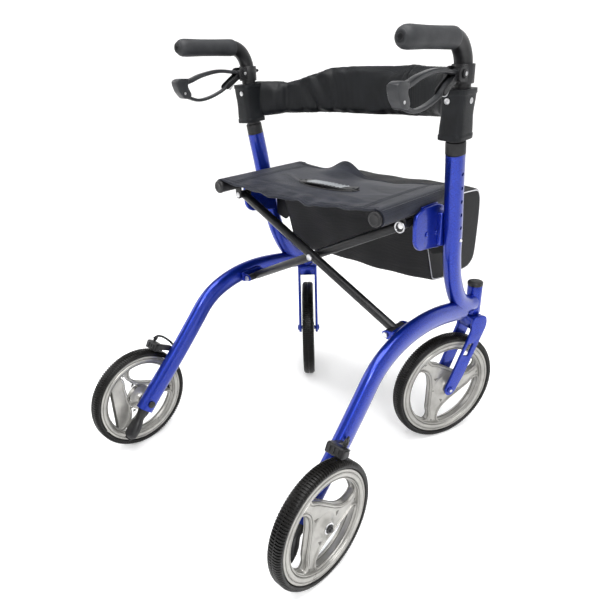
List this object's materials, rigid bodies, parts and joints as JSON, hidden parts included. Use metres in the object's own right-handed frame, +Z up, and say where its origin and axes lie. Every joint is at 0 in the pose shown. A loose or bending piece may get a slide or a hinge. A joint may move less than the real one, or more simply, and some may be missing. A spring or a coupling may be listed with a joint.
{
  "type": "rollator walker",
  "caption": "Folding walker with a cross brace, sling seat, backrest band, bag, braked rear wheels, swivelling casters and height-adjustable handles.",
  "frame": {"origin": "under the middle of the walker, on the floor", "axes": "+Z up, +Y the way the walker is pushed, +X the user's right"},
  "size_m": [0.603, 0.748, 0.8616],
  "materials": {
    "blue_paint": "gloss metallic",
    "black_paint": "satin",
    "black_plastic": "matte",
    "steel": "satin",
    "soft_rubber": "matte",
    "silver_plastic": "satin silver",
    "tyre_rubber": "matte",
    "nylon": "woven"
  },
  "bodies": {
    "right_frame": {"upright_right": "blue_paint", "leg_right": "blue_paint", "tilt_pedal_right": "black_plastic", "stem_cap_right": "black_plastic", "collar_right": "black_plastic", "saddle_right": "blue_paint", "brake_housing_right": "black_plastic", "brake_cable_right": "black_plastic", "rear_axle_right": "steel", "lower_bracket_right": "blue_paint", "bag": "nylon"},
    "left_frame": {"upright_left": "blue_paint", "leg_left": "blue_paint", "tilt_pedal_left": "black_plastic", "stem_cap_left": "black_plastic", "collar_left": "black_plastic", "saddle_left": "blue_paint", "brake_housing_left": "black_plastic", "brake_cable_left": "black_plastic", "rear_axle_left": "steel", "lower_bracket_left": "blue_paint"},
    "arm_a": {"brace_arm_a": "black_paint", "brace_pin": "steel"},
    "arm_b": {"brace_arm_b": "black_paint"},
    "rail_right": {"seat_rail_right": "black_paint", "rail_cap_right": "black_plastic", "seat_sling": "nylon", "lift_handle": "black_plastic"},
    "rail_left": {"seat_rail_left": "black_paint", "rail_cap_left": "black_plastic"},
    "handle_right": {"handle_tube_right": "black_paint", "grip_right": "soft_rubber", "handle_housing_right": "black_plastic", "backrest": "nylon"},
    "button_right": {"height_button_right": "steel"},
    "cam_right": {"lever_cam_right": "steel"},
    "lever_right": {"brake_lever_right": "black_plastic"},
    "shoe_carrier_right": {"brake_arm_right": "steel"},
    "shoe_right": {"brake_shoe_right": "soft_rubber"},
    "rear_wheel_right": {"rear_rim_right": "silver_plastic", "rear_tyre_right": "tyre_rubber"},
    "caster_right": {"fork_right": "blue_paint", "front_axle_right": "steel"},
    "front_wheel_right": {"front_rim_right": "silver_plastic", "front_tyre_right": "tyre_rubber"},
    "handle_left": {"handle_tube_left": "black_paint", "grip_left": "soft_rubber", "handle_housing_left": "black_plastic"},
    "button_left": {"height_button_left": "steel"},
    "cam_left": {"lever_cam_left": "steel"},
    "lever_left": {"brake_lever_left": "black_plastic"},
    "shoe_carrier_left": {"brake_arm_left": "steel"},
    "shoe_left": {"brake_shoe_left": "soft_rubber"},
    "rear_wheel_left": {"rear_rim_left": "silver_plastic", "rear_tyre_left": "tyre_rubber"},
    "caster_left": {"fork_left": "blue_paint", "front_axle_left": "steel"},
    "front_wheel_left": {"front_rim_left": "silver_plastic", "front_tyre_left": "tyre_rubber"}
  },
  "joints": [
    {"name": "fold", "type": "hinge", "parent": "right_frame", "child": "arm_a", "pos_m": [0.21, 0.036, 0.335], "axis": [0, 1, 0], "range_deg": [0, 44], "deforming": ["seat_sling", "lift_handle", "backrest", "bag"]},
    {"name": "brace_centre", "type": "hinge", "parent": "arm_a", "child": "arm_b", "pos_m": [0, 0.047, 0.4375], "axis": [0, 1, 0], "range_deg": [-88, 0]},
    {"name": "left_lower_pivot", "type": "hinge", "parent": "arm_b", "child": "left_frame", "pos_m": [-0.21, 0.058, 0.335], "axis": [0, 1, 0], "range_deg": [0, 44]},
    {"name": "left_rail_pivot", "type": "hinge", "parent": "arm_a", "child": "rail_left", "pos_m": [-0.21, 0.036, 0.54], "axis": [0, 1, 0], "range_deg": [-44, 0]},
    {"name": "right_rail_pivot", "type": "hinge", "parent": "arm_b", "child": "rail_right", "pos_m": [0.21, 0.058, 0.54], "axis": [0, 1, 0], "range_deg": [0, 44]},
    {"name": "height_right", "type": "slide", "parent": "right_frame", "child": "handle_right", "axis": [0.03, -0.165, 0.9858], "range_m": [0, 0.13], "deforming": ["height_button_right"]},
    {"name": "button_right", "type": "slide", "parent": "handle_right", "child": "button_right", "axis": [1, 0, 0], "range_m": [-0.004, 0], "stiffness_N_per_m": 500, "springref_m": 0.002},
    {"name": "park_right", "type": "hinge", "parent": "handle_right", "child": "cam_right", "pos_m": [0.266, 0.097, 0.79], "axis": [1, 0, 0], "range_deg": [0, 20]},
    {"name": "squeeze_right", "type": "hinge", "parent": "cam_right", "child": "lever_right", "pos_m": [0.266, 0.097, 0.79], "axis": [-1, 0, 0], "range_deg": [0, 10], "stiffness_Nm_per_rad": 1.5},
    {"name": "shoe_carrier_right", "type": "slide", "parent": "right_frame", "child": "shoe_carrier_right", "axis": [0, -0.4618, -0.887], "range_m": [0, 0.001]},
    {"name": "shoe_right", "type": "slide", "parent": "shoe_carrier_right", "child": "shoe_right", "axis": [0, -0.4618, -0.887], "range_m": [0, 0.001]},
    {"name": "rear_spin_right", "type": "hinge", "parent": "right_frame", "child": "rear_wheel_right", "pos_m": [0.281, -0.26, 0.114], "axis": [1, 0, 0], "continuous": true},
    {"name": "swivel_right", "type": "hinge", "parent": "right_frame", "child": "caster_right", "pos_m": [0.248, 0.278, 0.3], "axis": [0, 0, 1], "continuous": true},
    {"name": "front_spin_right", "type": "hinge", "parent": "caster_right", "child": "front_wheel_right", "pos_m": [0.22349, 0.21888, 0.127], "axis": [0.9238, -0.383, 0], "continuous": true},
    {"name": "height_left", "type": "slide", "parent": "left_frame", "child": "handle_left", "axis": [-0.03, -0.165, 0.9858], "range_m": [0, 0.13], "deforming": ["height_button_left"]},
    {"name": "button_left", "type": "slide", "parent": "handle_left", "child": "button_left", "axis": [-1, 0, 0], "range_m": [-0.004, 0], "stiffness_N_per_m": 500, "springref_m": 0.002},
    {"name": "park_left", "type": "hinge", "parent": "handle_left", "child": "cam_left", "pos_m": [-0.266, 0.097, 0.79], "axis": [1, 0, 0], "range_deg": [0, 20]},
    {"name": "squeeze_left", "type": "hinge", "parent": "cam_left", "child": "lever_left", "pos_m": [-0.266, 0.097, 0.79], "axis": [-1, 0, 0], "range_deg": [0, 10], "stiffness_Nm_per_rad": 1.5},
    {"name": "shoe_carrier_left", "type": "slide", "parent": "left_frame", "child": "shoe_carrier_left", "axis": [0, -0.4618, -0.887], "range_m": [0, 0.001]},
    {"name": "shoe_left", "type": "slide", "parent": "shoe_carrier_left", "child": "shoe_left", "axis": [0, -0.4618, -0.887], "range_m": [0, 0.001]},
    {"name": "rear_spin_left", "type": "hinge", "parent": "left_frame", "child": "rear_wheel_left", "pos_m": [-0.281, -0.26, 0.114], "axis": [1, 0, 0], "continuous": true},
    {"name": "swivel_left", "type": "hinge", "parent": "left_frame", "child": "caster_left", "pos_m": [-0.248, 0.278, 0.3], "axis": [0, 0, 1], "continuous": true},
    {"name": "front_spin_left", "type": "hinge", "parent": "caster_left", "child": "front_wheel_left", "pos_m": [-0.20456, 0.231, 0.127], "axis": [0.7344, 0.6787, 0], "continuous": true}
  ],
  "couplings": [
    {"joint": "brace_centre", "follows": "fold", "ratio": -2},
    {"joint": "left_lower_pivot", "follows": "fold", "ratio": 1},
    {"joint": "left_rail_pivot", "follows": "fold", "ratio": -1},
    {"joint": "right_rail_pivot", "follows": "fold", "ratio": 1},
    {"joint": "shoe_carrier_right", "follows": "squeeze_right", "m_per_rad": 0.005443},
    {"joint": "shoe_right", "follows": "park_right", "m_per_rad": 0.002722},
    {"joint": "shoe_carrier_left", "follows": "squeeze_left", "m_per_rad": 0.005443},
    {"joint": "shoe_left", "follows": "park_left", "m_per_rad": 0.002722},
    {"joint": "height_left", "follows": "height_right", "ratio": 1}
  ]
}
